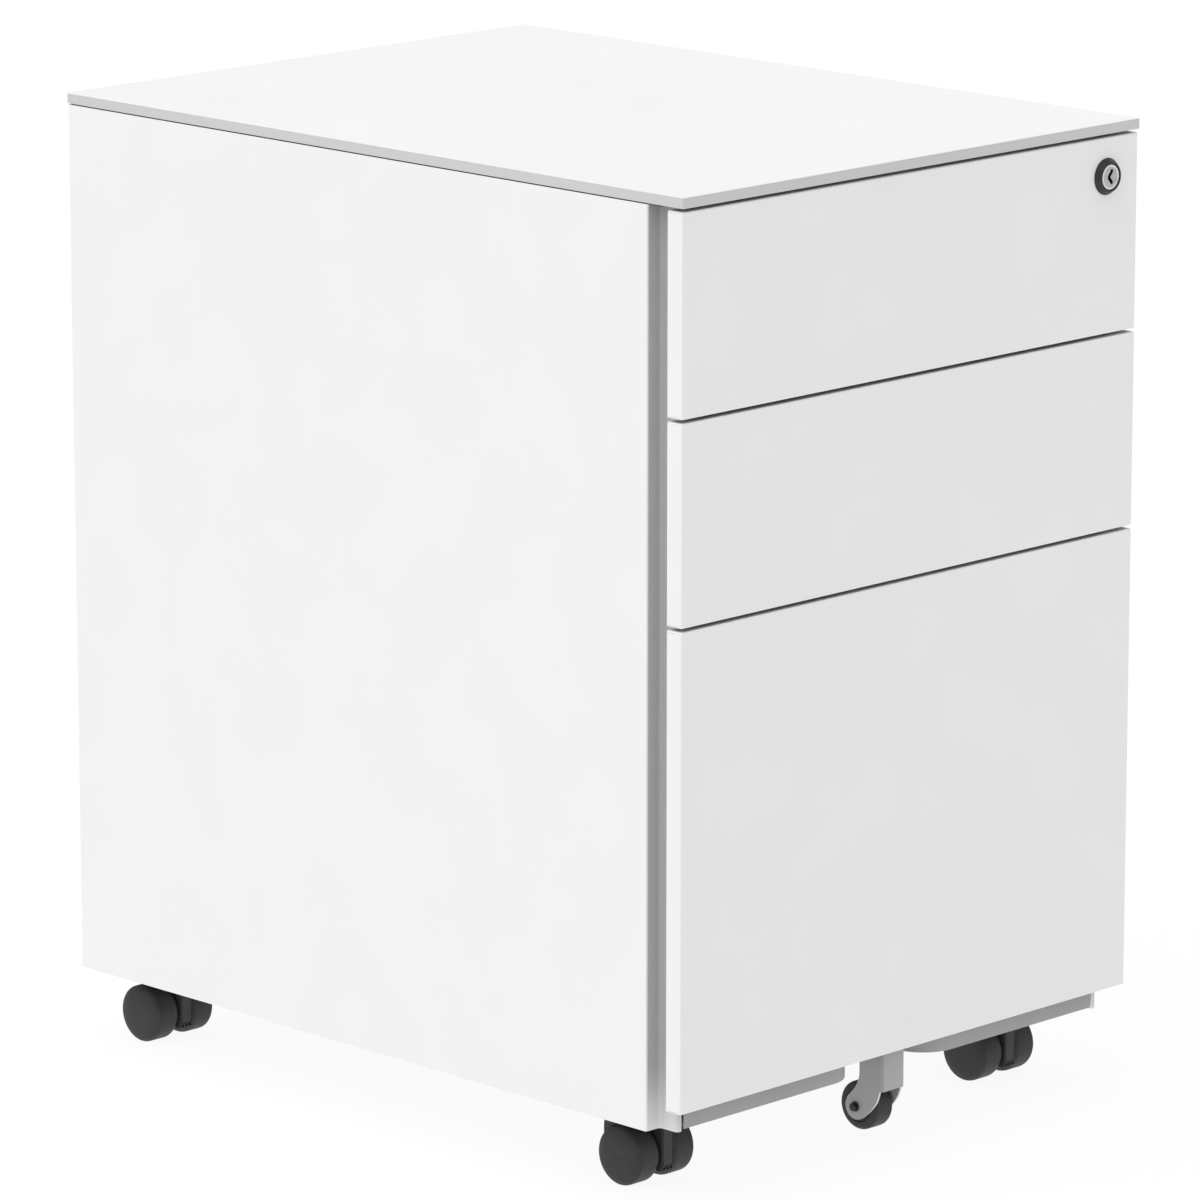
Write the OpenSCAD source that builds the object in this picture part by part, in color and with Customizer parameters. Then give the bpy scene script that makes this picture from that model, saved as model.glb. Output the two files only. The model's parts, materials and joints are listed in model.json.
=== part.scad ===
// Mobile steel pedestal: two small drawers over a file drawer, on four twin-wheel castors.
// The origin is on the floor under the middle of the cabinet. +X is to the right as one
// faces the drawers, +Y goes to the back and +Z is up. Lengths are in millimetres.

/* [Cabinet] */
// Width over the side panels
width = 390; // [380:1:420]
// Depth of the top board, front to back
depth = 524.4; // [515:0.1:600]
// Height from the floor to the top of the board
height = 600; // [598:0.1:640]
// Thickness of the top board
board_t = 6.5; // [5:0.1:10]
// Thickness of the edging glued round the board
edging_t = 1.2; // [0.8:0.1:2]
// Thickness of the laminate that covers the board and the top of its edging
laminate_t = 0.5; // [0.3:0.1:0.8]
// Shadow gap between the side panels and the board
shadow_gap = 0.7; // [0.5:0.1:1]
// Thickness of the carcass and drawer sheet
sheet = 0.9; // [0.7:0.1:1.2]
// Height of the lower edge of the side panels
panel_z = 47.3; // [47:0.1:50]

/* [Finger grips] */
// Depth of the grip groove, from the front of the board to the side panel
grip_back = 28.1; // [26:0.1:32]
// Width of the grip groove, in from the side of the cabinet
grip_in = 11.2; // [10:0.1:12]
// Front face of the corner posts, back from the front of the board
post_front = 13.8; // [13.6:0.1:14]
// Inner face of the corner posts, in from the side of the cabinet
post_in = 15.5; // [15:0.1:16]

/* [Drawers] */
// Gap above each drawer front
front_gap = 2.1; // [1.5:0.1:3]
// Height of the two small drawer fronts
small_front = 119.1; // [118:0.1:121]
// Height of the file drawer front
file_front = 286.3; // [285:0.1:287]
// Set-back of the drawer fronts behind the front of the board
front_back = 0.9; // [0.5:0.1:1.2]
// Depth of the folded drawer fronts
front_t = 11.5; // [10:0.1:11.5]
// Height of the side walls of the small drawers
small_wall = 78; // [60:1:80]
// Height of the side walls of the file drawer
file_wall = 250; // [200:1:260]

/* [Slides] */
// Length of the drawer slides
slide_l = 450; // [430:5:460]
// Height of the drawer slides
slide_h = 45; // [40:1:46]
// Width of the drawer slides
slide_w = 12.7; // [12.5:0.1:13]
// Thickness of the slide sheet
slide_t = 1.2; // [1:0.1:1.3]

/* [Lock] */
// Sideways place of the lock
lock_x = 166.8; // [166:0.1:168]
// Height of the lock
lock_z = 567.9; // [566:0.1:569]
// Diameter of the lock's collar where it meets the drawer front
collar_d = 23; // [21:0.1:24]
// Diameter of the collar's front rim
rim_d = 17.4; // [16.8:0.1:18]
// How far the collar stands out of the drawer front
collar_h = 3.9; // [3:0.1:5]
// Diameter of the plug's face
plug_face_d = 15.8; // [14:0.1:16]

/* [Castors] */
// Radius of the castor wheels
wheel_r = 18; // [17:0.1:18]
// Gap between the two wheels of a castor
wheel_gap = 10.3; // [10:0.1:11]
// Straight width of a wheel's tread
tread_w = 14.5; // [12:0.1:15]
// Depth of the domed outer face of a wheel
dome_h = 5.1; // [3:0.1:6]
// Distance from the middle of the cabinet to each castor
castor_x = 150.4; // [140:0.1:152]
// Distance from the front of the board to the front axles
axle_front = 72; // [68:0.1:80]
// Distance from the front of the board to the rear axles
axle_rear = 494.2; // [480:0.1:496]
// Distance of a castor's axle behind its stem
trail = 11; // [10:0.5:12]

/* [Anti-tip wheel] */
// Radius of the wheel under the file drawer
tip_r = 15; // [12:0.1:15]
// Width of that wheel
tip_w = 16; // [12:0.1:16.4]
// Height of its axle
tip_z = 21.4; // [19:0.1:23]
// Distance from the front of the board to its axle
tip_back = 34.5; // [33:0.1:36]
// Width over the cheeks of its bracket
fork_w = 20; // [18:0.1:21]

/* [Hidden] */

$fn = 48;
white = [0.93, 0.93, 0.93];
edge_grey = [0.74, 0.74, 0.74];
steel = [0.68, 0.69, 0.7];
zinc = [0.75, 0.76, 0.77];
dark = [0.2, 0.2, 0.21];

bend_steps = 6;
half_w = width / 2;
board_z = height - board_t;
panel_top = board_z - shadow_gap;
// The collar stands in front of the board, so the board's front edge is behind the box's front
collar_out = collar_h - front_back;
front_y = collar_out - (depth + collar_out) / 2;

// Drawer fronts, from the top down: [lower edge, height]
small_1_z = board_z - front_gap - small_front;
small_2_z = small_1_z - front_gap - small_front;
file_z = small_2_z - front_gap - file_front;
front_side_gap = 0.3;
front_w = width - 2 * front_side_gap;
skin_back = front_back + front_t;

// Trays stand between the slides
tray_half = half_w - post_in - slide_w;
tray_lip = 4.5;
tray_l = slide_l + 8;
small_floor = 4.8;
file_floor = 4.4;
tray_zs = [small_1_z + small_floor, small_2_z + small_floor, file_z + file_floor];
tray_walls = [small_wall, small_wall, file_wall];
front_zs = [small_1_z, small_2_z, file_z];
front_hs = [small_front, small_front, file_front];
slide_zs = [tray_zs[0] + 40, tray_zs[1] + 40, tray_zs[2] + 135];
slide_front = 18;

// Lock bar, upright inside the right-hand corner post, with tabs that reach out of it
bar_t = 1.5;
bar_w = 9;
bar_front = 17.5;
bar_x = half_w - (grip_in + post_in) / 2;
tab_x = tray_half + 0.5;
catch_x = 173.5;
catch_zs = [tray_zs[0] + 76.5, tray_zs[1] + 76.5, tray_zs[2] + 193];
catch_head_d = 6.5;
catch_stem_d = 3;
catch_head_back = bar_front + bar_t + 1;
cam_r = 6;
cam_pin_d = 3;
cam_pin_z = lock_z - cam_r * sin(45);
bar_lift = 2 * cam_r * sin(45);
// Lowest and highest edges of the bar's tabs at rest: one under each stud, one at the cam
fork_low = -catch_stem_d / 2 - 0.3 - bar_lift;
tab_spans = concat([for (z = catch_zs) [z + fork_low - 3, z - catch_head_d / 2 - 1]],
                   [[cam_pin_z - 5, cam_pin_z + 5]]);

screw_d = 4;
rail_z = 48.4;
rail_h = 13.2;
rail_gap = 1.25;
rail_mouth_r = 23;
bay_half = 28;
bay_back = 60;
pan_z = 50;
stem_d = 7;
stem_flange_t = 3;
axle_d = 5;
fit = 0.05;

// Moves its children so that y counts back from the front edge of the board
module from_front() { translate([0, front_y, 0]) children(); }

// Copies its children on the left, or mirrors them to the right
module on_side(s) { mirror([s > 0 ? 1 : 0, 0, 0]) children(); }

// ---- Folded sheet: a path with round bends, given a thickness ----
function turn_by(v, a) = [v[0] * cos(a) - v[1] * sin(a), v[0] * sin(a) + v[1] * cos(a)];
function ahead(a, b) = (b - a) / norm(b - a);
function left_of(v) = [-v[1], v[0]];
function bend_angle(u, v) = atan2(u[0] * v[1] - u[1] * v[0], u * v);
// Points of one bend, on the line that runs `off` to the left of the path
function bend_points(a, p, b, r, off) =
    let (u = ahead(a, p), v = ahead(p, b), t = bend_angle(u, v), s = sign(t),
         c = p - u * r * tan(abs(t) / 2) + left_of(u) * s * r,
         steps = r > 10 ? 3 * bend_steps : bend_steps)
    [for (k = [0 : steps]) c + turn_by(-left_of(u) * s, t * k / steps) * (r - s * off)];
function one_side(path, radii, off) =
    let (n = len(path), first = left_of(ahead(path[0], path[1])),
         last = left_of(ahead(path[n - 2], path[n - 1])))
    concat([path[0] + first * off],
           [for (i = [1 : n - 2]) each bend_points(path[i - 1], path[i], path[i + 1],
                                                   radii[i - 1], off)],
           [path[n - 1] + last * off]);
function backwards(list) = [for (i = [len(list) - 1 : -1 : 0]) list[i]];
module folded(path, t, radii) {
    polygon(concat(one_side(path, radii, t / 2), backwards(one_side(path, radii, -t / 2))));
}

// Extrudes a profile drawn as [x, z] along y
module along_y(l) { translate([0, l, 0]) rotate([90, 0, 0]) linear_extrude(l) children(); }
// Extrudes a profile drawn as [y, z] along x, centred
module along_x(w) {
    translate([-w / 2, 0, 0]) rotate([90, 0, 90]) linear_extrude(w) children();
}

// ---- Carcass ----
module board_outline(inset) {
    translate([-half_w + inset, inset]) square([width - 2 * inset, depth - 2 * inset]);
}
module at_board_screws() { for (x = [-150, 150], y = [80, 450]) translate([x, y, 0]) children(); }
module top_board() {
    color(white) from_front() difference() {
        union() {
            translate([0, 0, board_z]) linear_extrude(board_t) board_outline(edging_t);
            translate([0, 0, height - laminate_t]) linear_extrude(laminate_t) board_outline(0);
        }
        at_board_screws() translate([0, 0, board_z - 1]) cylinder(d = screw_d + 0.02, h = 6);
    }
}
// Pan-head screws that hold the board to the crown panel from below
module board_screws() {
    color(zinc) from_front() at_board_screws() {
        translate([0, 0, panel_top - 2.2]) cylinder(d = 9, h = 2.2);
        translate([0, 0, panel_top - 0.1]) cylinder(d = screw_d, h = 5.4);
    }
}
module top_edging() {
    color(edge_grey) from_front() translate([0, 0, board_z])
        linear_extrude(board_t - laminate_t) difference() {
            board_outline(0);
            board_outline(edging_t);
        }
}
// Flat lid of the carcass under the board, with flanges turned down inside the walls
module crown_panel() {
    inset = 1.5;
    y0 = 17;
    flange = 14;
    color(dark) from_front() difference() {
        union() {
            translate([-half_w + inset, y0, panel_top])
                cube([width - 2 * inset, depth - y0 - 3, shadow_gap]);
            for (x = [-half_w + inset, half_w - inset - shadow_gap])
                translate([x, 66, panel_top - flange]) cube([shadow_gap, 330, flange]);
            translate([-half_w + 24, depth - 3 - shadow_gap, panel_top - flange])
                cube([width - 48, shadow_gap, flange]);
        }
        at_board_screws() translate([0, 0, panel_top - 1]) cylinder(d = screw_d + 0.6, h = 3);
    }
}
// Outer skin, finger groove and corner post folded from one sheet
module side_panel(s) {
    h = sheet / 2;
    path = [[18, depth - h], [h, depth - h], [h, grip_back + h], [grip_in + h, grip_back + h],
            [grip_in + h, post_front + h], [post_in - h, post_front + h], [post_in - h, 60]];
    color(white) from_front() on_side(s) translate([-half_w, 0, panel_z])
        linear_extrude(panel_top - panel_z) folded(path, sheet, [1.2, 1.2, 2.6, 2, 1.1]);
}
// Slots in the right-hand post, through which the tabs of the lock bar reach
module tab_windows() {
    play = 0.6;
    from_front() for (span = tab_spans)
        translate([half_w - post_in - play, bar_front - play, span[0] - play])
            cube([sheet + 2 * play, bar_t + 2 * play, span[1] - span[0] + bar_lift + 2 * play]);
}
module side_panel_left() { side_panel(-1); }
module side_panel_right() {
    color(white) difference() {
        side_panel(1);
        tab_windows();
    }
}
module back_panel() {
    inset = 1.3;
    rib = 6;
    color(white) from_front() {
        translate([-half_w + inset, depth - 2 * sheet - 0.1, pan_z + 1.2])
            cube([width - 2 * inset, sheet, panel_top - pan_z - 1.5]);
        for (x = [-half_w + inset, half_w - inset - sheet])
            translate([x, depth - 2 * sheet - 0.1 - rib, pan_z + 30])
                cube([sheet, rib, panel_top - pan_z - 50]);
    }
}
// Floor of the carcass, with a bay cut out of its front for the anti-tip wheel
module base_pan() {
    side = half_w - 1.3;
    inner = half_w - post_in - 2.2;
    y1 = depth - 3;
    notch = bay_half + 2;
    flange = 24;
    outline = [[-inner, 15.6], [-55, 15.6], [-notch, 42], [-notch, bay_back + 2],
               [notch, bay_back + 2], [notch, 42], [55, 15.6], [inner, 15.6],
               [inner, 62], [side, 62], [side, y1], [-side, y1], [-side, 62], [-inner, 62]];
    color(steel) from_front() difference() {
        union() {
            translate([0, 0, pan_z]) linear_extrude(sheet) polygon(outline);
            for (x = [-side, side - sheet])
                translate([x, 64, pan_z]) cube([sheet, y1 - 64, flange]);
            translate([-side, y1 - sheet, pan_z]) cube([2 * side, sheet, 14]);
        }
        for (x = [-castor_x, castor_x], y = [axle_front - trail, axle_rear - trail])
            translate([x, y, pan_z - 1]) cylinder(d = 8 + 2 * fit, h = 3);
    }
}
// Front kick rail: its middle curves back round the bay of the anti-tip wheel
module front_rail() {
    y = post_front + sheet / 2;
    x = half_w - post_in - rail_gap;
    path = [[-x, y], [-bay_half, y], [-bay_half, bay_back],
            [bay_half, bay_back], [bay_half, y], [x, y]];
    color(steel) from_front() translate([0, 0, rail_z]) linear_extrude(rail_h)
        folded(path, sheet, [rail_mouth_r, 3, 3, rail_mouth_r]);
}
// Z-shaped uprights that carry the rear ends of the slides
module rear_uprights() {
    h = sheet / 2;
    skin = sheet + h + 0.02;
    path = [[skin, 408], [skin, 428], [post_in - h, 428], [post_in - h, 470]];
    color(steel) from_front() for (s = [-1, 1])
        on_side(s) translate([-half_w, 0, pan_z + 26])
            linear_extrude(panel_top - pan_z - 42) folded(path, sheet, [1.5, 1.5]);
}

// ---- Slides: x runs from the post towards the drawer ----
module slide_section(x0, x1, h) {
    path = [[x0, h], [x1, h], [x1, -h], [x0, -h]];
    folded(path, slide_t, [1.4, 1.4]);
}
module slide_bar(s, i, x0, x1, h) {
    on_side(s) translate([-half_w + post_in, slide_front, slide_zs[i]])
        along_y(slide_l) slide_section(x0, x1, h);
}
module slide_outers() {
    color(zinc) from_front() for (s = [-1, 1], i = [0 : 2])
        slide_bar(s, i, 8.5, slide_t / 2, (slide_h - slide_t) / 2);
}
module slide_middle(i, s) {
    color(zinc) from_front() slide_bar(s, i, 9.6, 3.2, slide_h / 2 - 4.3);
}
module slide_inner(i, s) {
    color(zinc) from_front() slide_bar(s, i, 6, slide_w - slide_t / 2, slide_h / 2 - 8);
}
module slide_1_middle_left() { slide_middle(0, -1); }
module slide_1_middle_right() { slide_middle(0, 1); }
module slide_2_middle_left() { slide_middle(1, -1); }
module slide_2_middle_right() { slide_middle(1, 1); }
module slide_3_middle_left() { slide_middle(2, -1); }
module slide_3_middle_right() { slide_middle(2, 1); }
module slide_1_inner_left() { slide_inner(0, -1); }
module slide_1_inner_right() { slide_inner(0, 1); }
module slide_2_inner_left() { slide_inner(1, -1); }
module slide_2_inner_right() { slide_inner(1, 1); }
module slide_3_inner_left() { slide_inner(2, -1); }
module slide_3_inner_right() { slide_inner(2, 1); }

// ---- Drawers ----
// Folded front: a face with a flange all round its back
module drawer_front(i) {
    r = 1.2;
    w = front_w / 2;
    h = front_hs[i];
    color(white) from_front() translate([0, front_back, front_zs[i]]) difference() {
        translate([0, front_t, 0]) rotate([90, 0, 0]) linear_extrude(front_t)
            translate([-w, 0]) square([front_w, h]);
        translate([-w + sheet, sheet, sheet])
            cube([front_w - 2 * sheet, front_t, h - 2 * sheet]);
        for (s = [-1, 1]) on_side(s) translate([-w, 0, -1]) difference() {
            translate([-1, -1, 0]) cube([r + 1, r + 1, h + 2]);
            translate([r, r, 0]) cylinder(r = r, h = h + 2);
        }
        if (i == 0) lock_hole();
    }
}
module lock_hole() {
    translate([lock_x, -1, lock_z - small_1_z]) rotate([-90, 0, 0]) cylinder(d = 16.2, h = 20);
}
// Inner skin that closes the back of the folded front
module drawer_inner_skin(i) {
    gap = 0.3;
    w = front_w / 2 - sheet - gap;
    color(white) from_front() difference() {
        translate([-w, skin_back - sheet, front_zs[i] + sheet + gap])
            cube([2 * w, sheet, front_hs[i] - 2 * (sheet + gap)]);
        if (i == 0) translate([0, 0, small_1_z]) lock_hole();
    }
}
// Tray: floor and side walls folded in one, with lips at the top, and a back wall
module drawer_tray(i) {
    h = sheet / 2;
    w = tray_half - h;
    top = tray_walls[i] - h;
    path = [[-w + tray_lip, top], [-w, top], [-w, h], [w, h], [w, top], [w - tray_lip, top]];
    color(white) from_front() translate([0, skin_back, tray_zs[i]]) {
        along_y(tray_l) folded(path, sheet, [1.2, 1.2, 1.2, 1.2]);
        translate([-w, tray_l - sheet, h]) cube([2 * w, sheet, tray_walls[i] - sheet - 2]);
    }
}
// Headed stud that a tab of the lock bar holds
module drawer_catch(i) {
    stem = catch_head_back - skin_back;
    color(zinc) from_front() translate([catch_x, skin_back, catch_zs[i]]) rotate([-90, 0, 0]) {
        cylinder(d = catch_stem_d, h = stem + 0.2);
        translate([0, 0, stem]) cylinder(d = catch_head_d, h = 1.4);
    }
}
module drawer_1_front() { drawer_front(0); }
module drawer_2_front() { drawer_front(1); }
module drawer_3_front() { drawer_front(2); }
module drawer_1_inner_skin() { drawer_inner_skin(0); }
module drawer_2_inner_skin() { drawer_inner_skin(1); }
module drawer_3_inner_skin() { drawer_inner_skin(2); }
module drawer_1_tray() { drawer_tray(0); }
module drawer_2_tray() { drawer_tray(1); }
module drawer_3_tray() { drawer_tray(2); }
module drawer_1_catch() { drawer_catch(0); }
module drawer_2_catch() { drawer_catch(1); }
module drawer_3_catch() { drawer_catch(2); }
// Rails for hanging files, standing on the lips of the file drawer
module file_rails() {
    color(steel) from_front() for (s = [-1, 1])
        on_side(s) translate([-tray_half + 1, 24, tray_zs[2] + file_wall]) {
            cube([2, tray_l - 24, 9]);
            cube([3.5, tray_l - 24, 1.2]);
        }
}

// ---- Anti-tip wheel under the file drawer ----
module fork_profile() {
    z_top = tray_zs[2] - 0.1;
    front = 12.8;
    difference() {
        union() {
            polygon([[front, z_top], [front, 34.5], [15, 34.3], [17.2, 27.8], [21.1, 22.3],
                     [25.7, 17.8], [28.8, 15.3], [31.2, 13.95], [41.8, 25], [40.4, 27.4],
                     [35.4, 32.8], [32.4, 38.4], [31.5, 42.2], [31.5, z_top]]);
            translate([tip_back, tip_z]) circle(r = 8.2);
        }
        translate([tip_back, tip_z]) circle(d = axle_d + 2 * fit);
    }
}
module anti_tip_bracket() {
    t = 1.5;
    z_top = tray_zs[2];
    color(steel) from_front() {
        for (x = [-(fork_w - t) / 2, (fork_w - t) / 2]) translate([x, 0, 0]) along_x(t)
            fork_profile();
        translate([-fork_w / 2, 12.8, 34.5]) cube([fork_w, t, z_top - 34.6]);
        translate([-fork_w / 2, 12.8, z_top - t - 0.1]) cube([fork_w, 36, t]);
    }
}
module anti_tip_axle() {
    // Distances from the cheek to the far side of the ring, the neck and the head
    ring = 0.9;
    neck = 2.3;
    head = 3.6;
    color(dark) from_front() translate([0, tip_back, tip_z]) rotate([0, 90, 0]) {
        cylinder(d = axle_d, h = fork_w + 0.2, center = true);
        cylinder(d = axle_d - 1.4, h = fork_w + 2 * head - 0.4, center = true);
        for (side = [0, 180]) rotate([side, 0, 0]) translate([0, 0, fork_w / 2]) {
            translate([0, 0, 0.1]) cylinder(d = 6.2, h = ring - 0.1);
            translate([0, 0, neck]) cylinder(d = axle_d, h = head - neck);
        }
    }
}
module anti_tip_wheel() {
    h = tip_w / 2;
    b = axle_d / 2 + fit;
    r = tip_r;
    color(dark) from_front() translate([0, tip_back, tip_z]) rotate([0, 90, 0])
        rotate_extrude() polygon([[b, -h], [r - 4, -h], [r - 1.2, -h + 1], [r, -h + 3.5],
                                  [r, h - 3.5], [r - 1.2, h - 1], [r - 4, h], [b, h]]);
}

// ---- Lock ----
module at_lock(y) {
    from_front() translate([lock_x, y, lock_z]) rotate([-90, 0, 0]) children();
}
face_y = front_back - collar_h;
plug_d = 11.9;
module lock_housing() {
    color(dark) difference() {
        union() {
            at_lock(face_y) cylinder(d1 = rim_d, d2 = collar_d, h = collar_h, $fn = 64);
            at_lock(front_back - 0.01) cylinder(d = 16, h = front_t);
        }
        at_lock(face_y - 1) cylinder(d = plug_face_d + 2 * fit, h = 2.9);
        at_lock(face_y) cylinder(d = plug_d + 2 * fit, h = 30);
    }
}
// Curved slot for the key
module keyway() {
    path = [[1.2, -3.7], [-1, -0.7], [-1, 0.5], [1.2, 2.9], [0.7, 4.2]];
    linear_extrude(9) folded(path, 1.2, [1.2, 1.2, 0.8]);
}
module lock_plug() {
    color(zinc) difference() {
        union() {
            at_lock(face_y + 0.6) cylinder(d = plug_face_d, h = 1.2);
            at_lock(face_y + 0.6) cylinder(d = plug_d, h = skin_back - face_y - 0.5);
        }
        at_lock(face_y - 1) keyway();
    }
}
// Cam arm on the tail of the plug, with a pin in the slot of the lock bar
module lock_cam() {
    tail = skin_back + 0.1;
    arm_t = 1.4;
    pin = cam_r * sin(45);
    color(zinc) at_lock(tail) {
        cylinder(d = 9, h = arm_t);
        rotate(45) translate([0, -2.5, 0]) cube([cam_r, 5, arm_t]);
        translate([pin, pin, 0]) cylinder(d = 5, h = arm_t);
        translate([pin, pin, 0.5]) cylinder(d = cam_pin_d, h = catch_head_back - tail - 0.5);
    }
}
// Strip with a forked tab under each drawer's stud and a slotted tab for the cam's pin.
// Lifted by the cam, the forks take the studs behind their heads.
module lock_bar() {
    fork_w = catch_stem_d + 1;
    slot_x0 = lock_x + cam_r * sin(45) - cam_pin_d / 2 - 0.5;
    slot_x1 = lock_x + cam_r + cam_pin_d / 2 + 0.5;
    low = tab_spans[2][0];
    high = tab_spans[3][1];
    color(steel) from_front() translate([0, bar_front, 0]) difference() {
        union() {
            translate([bar_x - bar_t / 2, 0, low]) cube([bar_t, bar_w, high - low]);
            for (span = tab_spans) translate([tab_x, 0, span[0]])
                cube([bar_x + bar_t / 2 - tab_x, bar_t, span[1] - span[0]]);
        }
        for (z = catch_zs) translate([catch_x - fork_w / 2, -1, z + fork_low])
            cube([fork_w, bar_t + 2, bar_lift]);
        translate([slot_x0, -1, cam_pin_z - 2]) cube([slot_x1 - slot_x0, bar_t + 2, 4]);
    }
}

// ---- Castors ----
// Each castor is drawn round its stem, with z up from the floor
module at_castor(x, axle_y) { from_front() translate([x, axle_y - trail, 0]) children(); }
module castor_stems() {
    color(zinc) for (x = [-castor_x, castor_x], y = [axle_front, axle_rear]) at_castor(x, y) {
        translate([0, 0, 24.5]) cylinder(d = stem_d, h = pan_z - 24.5);
        translate([0, 0, pan_z - stem_flange_t]) cylinder(d = 26, h = stem_flange_t);
        translate([0, 0, pan_z - 1]) cylinder(d = 8, h = 3.5);
    }
}
// Side view of the web between the wheels; y = 0 at the axle
module web_profile() {
    polygon([[-wheel_r, 10], [-wheel_r, 41], [12, 41], [wheel_r - 1.5, 37],
             [wheel_r - 1.5, 28], [7, 12], [0, 9.5], [-6, 8.6], [-12, 8.6]]);
    translate([0, wheel_r]) circle(r = 9);
}
// Hood over the wheels, clear of them by a millimetre. That of the front castors reaches
// back and down behind the wheels.
module hood_profile(back) {
    difference() {
        polygon([[-10, 36], [-10, 41], [back - 6, 41], [back, 37], [back, 28], [back - 3, 24]]);
        translate([0, wheel_r]) circle(r = wheel_r + 1);
    }
}
module castor_housing(x, y) {
    hood_back = y == axle_front ? 17.7 : 4.5;
    color(dark) at_castor(x, y) difference() {
        union() {
            translate([0, trail, 0]) along_x(wheel_gap - 0.7) web_profile();
            translate([0, trail, 0]) along_x(35) hood_profile(hood_back);
            translate([0, 0, 37.4]) cylinder(d = 19, h = 9.2);
        }
        translate([0, 0, 23.5]) cylinder(d = stem_d + 2 * fit, h = 30);
        translate([0, trail, wheel_r]) rotate([0, 90, 0])
            cylinder(d = axle_d + 0.04, h = 20, center = true);
    }
}
axle_half = wheel_gap / 2 + 12;
module castor_axle(x, y) {
    color(zinc) at_castor(x, y) translate([0, trail, wheel_r]) rotate([0, 90, 0])
        cylinder(d = axle_d, h = 2 * axle_half, center = true);
}
// Half outline of a wheel: rounded inner edge, flat tread and a domed outer face
function dome(n) = [for (k = [0 : n]) let (a = 90 * k / n)
    [wheel_r * pow(cos(a), 0.65), tread_w + dome_h * pow(sin(a), 0.65)]];
module wheel_profile() {
    fillet = 4.5;
    bore = axle_d / 2 + fit;
    blind = 12.4;
    difference() {
        polygon(concat([[0, 0], [wheel_r - fillet, 0]],
            [for (a = [-75 : 15 : 0]) [wheel_r - fillet + fillet * cos(a), fillet + fillet * sin(a)]],
            dome(10)));
        translate([-1, -1]) square([1 + bore, 1 + blind]);
    }
}
module castor_wheel(x, y, s) {
    color(dark) at_castor(x, y) on_side(s) translate([-wheel_gap / 2, trail, wheel_r])
        rotate([0, -90, 0]) rotate_extrude($fn = 96) wheel_profile();
}
module castor_fl_housing() { castor_housing(-castor_x, axle_front); }
module castor_fr_housing() { castor_housing(castor_x, axle_front); }
module castor_bl_housing() { castor_housing(-castor_x, axle_rear); }
module castor_br_housing() { castor_housing(castor_x, axle_rear); }
module castor_fl_axle() { castor_axle(-castor_x, axle_front); }
module castor_fr_axle() { castor_axle(castor_x, axle_front); }
module castor_bl_axle() { castor_axle(-castor_x, axle_rear); }
module castor_br_axle() { castor_axle(castor_x, axle_rear); }
module castor_fl_wheel_left() { castor_wheel(-castor_x, axle_front, -1); }
module castor_fl_wheel_right() { castor_wheel(-castor_x, axle_front, 1); }
module castor_fr_wheel_left() { castor_wheel(castor_x, axle_front, -1); }
module castor_fr_wheel_right() { castor_wheel(castor_x, axle_front, 1); }
module castor_bl_wheel_left() { castor_wheel(-castor_x, axle_rear, -1); }
module castor_bl_wheel_right() { castor_wheel(-castor_x, axle_rear, 1); }
module castor_br_wheel_left() { castor_wheel(castor_x, axle_rear, -1); }
module castor_br_wheel_right() { castor_wheel(castor_x, axle_rear, 1); }

top_board();
top_edging();
board_screws();
crown_panel();
side_panel_left();
side_panel_right();
back_panel();
base_pan();
front_rail();
rear_uprights();
slide_outers();
castor_stems();
lock_bar();
drawer_1_front();
drawer_1_inner_skin();
drawer_1_tray();
drawer_1_catch();
drawer_2_front();
drawer_2_inner_skin();
drawer_2_tray();
drawer_2_catch();
drawer_3_front();
drawer_3_inner_skin();
drawer_3_tray();
drawer_3_catch();
slide_1_middle_left();
slide_1_middle_right();
slide_1_inner_left();
slide_1_inner_right();
slide_2_middle_left();
slide_2_middle_right();
slide_2_inner_left();
slide_2_inner_right();
slide_3_middle_left();
slide_3_middle_right();
slide_3_inner_left();
slide_3_inner_right();
file_rails();
anti_tip_bracket();
anti_tip_axle();
anti_tip_wheel();
lock_housing();
lock_plug();
lock_cam();
castor_fl_housing();
castor_fl_axle();
castor_fl_wheel_left();
castor_fl_wheel_right();
castor_fr_housing();
castor_fr_axle();
castor_fr_wheel_left();
castor_fr_wheel_right();
castor_bl_housing();
castor_bl_axle();
castor_bl_wheel_left();
castor_bl_wheel_right();
castor_br_housing();
castor_br_axle();
castor_br_wheel_left();
castor_br_wheel_right();
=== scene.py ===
"""A mobile steel pedestal: three drawers, a lock, an anti-tip wheel and four twin-wheel castors.

X is to the right as one faces the drawers, Y goes to the back and Z is up. Lengths are in
metres; MM turns millimetres into metres.
"""

import json
import math

import bmesh
import bpy
from mathutils import Matrix, Vector


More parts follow.
